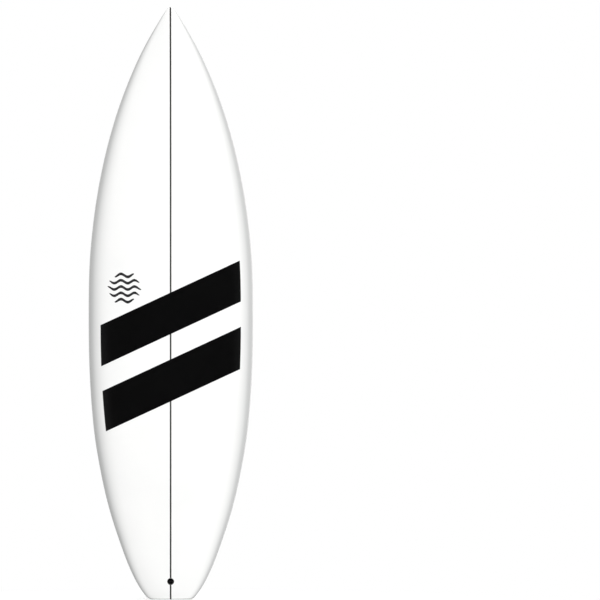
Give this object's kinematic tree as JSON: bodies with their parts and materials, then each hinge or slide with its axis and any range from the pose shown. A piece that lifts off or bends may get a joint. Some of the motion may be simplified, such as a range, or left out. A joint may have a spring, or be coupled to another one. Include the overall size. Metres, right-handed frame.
{
  "type": "surfboard",
  "caption": "Shortboard with a pointed nose, a squash tail, a stringered foam core, glassed skins, screw-held raked fins and a leash cup.",
  "frame": {"origin": "middle of the flat tail end, on the stringer", "axes": "the board stands on its tail: +Z runs from the tail to the nose, +Y is the side of the deck, -Y the side of the bottom and the fins, +X is the left of a rider who stands on the deck and looks to the nose"},
  "size_m": [0.508, 0.2283, 1.829],
  "materials": {
    "glassed_skin": "gloss",
    "foam": "matte",
    "stringer": "satin",
    "fin_box": "satin",
    "fin": "satin",
    "steel": "satin",
    "leash_cup": "satin"
  },
  "bodies": {
    "board": {"deck_laminate": "glassed_skin", "bottom_laminate": "glassed_skin", "foam_left": "foam", "foam_right": "foam", "stringer": "stringer", "fin_box_front_left": "fin_box", "fin_box_front_right": "fin_box", "fin_box_rear_left": "fin_box", "fin_box_rear_right": "fin_box", "fin_box_centre": "fin_box", "leash_cup": "leash_cup", "leash_bar": "steel"},
    "fin_front_left": {"fin_front_left": "fin"},
    "fin_front_right": {"fin_front_right": "fin"},
    "fin_rear_left": {"fin_rear_left": "fin"},
    "fin_rear_right": {"fin_rear_right": "fin"},
    "grub_screw_front_left": {"grub_screw_front_left": "steel"},
    "grub_screw_front_right": {"grub_screw_front_right": "steel"},
    "grub_screw_rear_left": {"grub_screw_rear_left": "steel"},
    "grub_screw_rear_right": {"grub_screw_rear_right": "steel"},
    "grub_screw_centre": {"grub_screw_centre": "steel"}
  },
  "joints": [
    {"name": "fin_front_left_pull", "type": "slide", "parent": "board", "child": "fin_front_left", "axis": [0, -0.9981, -0.0619], "range_m": [0, 0.03]},
    {"name": "fin_front_right_pull", "type": "slide", "parent": "board", "child": "fin_front_right", "axis": [0, -0.9981, -0.0619], "range_m": [0, 0.03]},
    {"name": "fin_rear_left_pull", "type": "slide", "parent": "board", "child": "fin_rear_left", "axis": [0, -0.9973, -0.0738], "range_m": [0, 0.03]},
    {"name": "fin_rear_right_pull", "type": "slide", "parent": "board", "child": "fin_rear_right", "axis": [0, -0.9973, -0.0738], "range_m": [0, 0.03]},
    {"name": "grub_screw_front_left_back_out", "type": "slide", "parent": "board", "child": "grub_screw_front_left", "axis": [0, -0.6632, 0.7484], "range_m": [0, 0.003]},
    {"name": "grub_screw_front_right_back_out", "type": "slide", "parent": "board", "child": "grub_screw_front_right", "axis": [0, -0.6632, 0.7484], "range_m": [0, 0.003]},
    {"name": "grub_screw_rear_left_back_out", "type": "slide", "parent": "board", "child": "grub_screw_rear_left", "axis": [0, -0.6721, 0.7404], "range_m": [0, 0.003]},
    {"name": "grub_screw_rear_right_back_out", "type": "slide", "parent": "board", "child": "grub_screw_rear_right", "axis": [0, -0.6721, 0.7404], "range_m": [0, 0.003]},
    {"name": "grub_screw_centre_back_out", "type": "slide", "parent": "board", "child": "grub_screw_centre", "axis": [0, -0.6779, 0.7351], "range_m": [0, 0.003]}
  ]
}
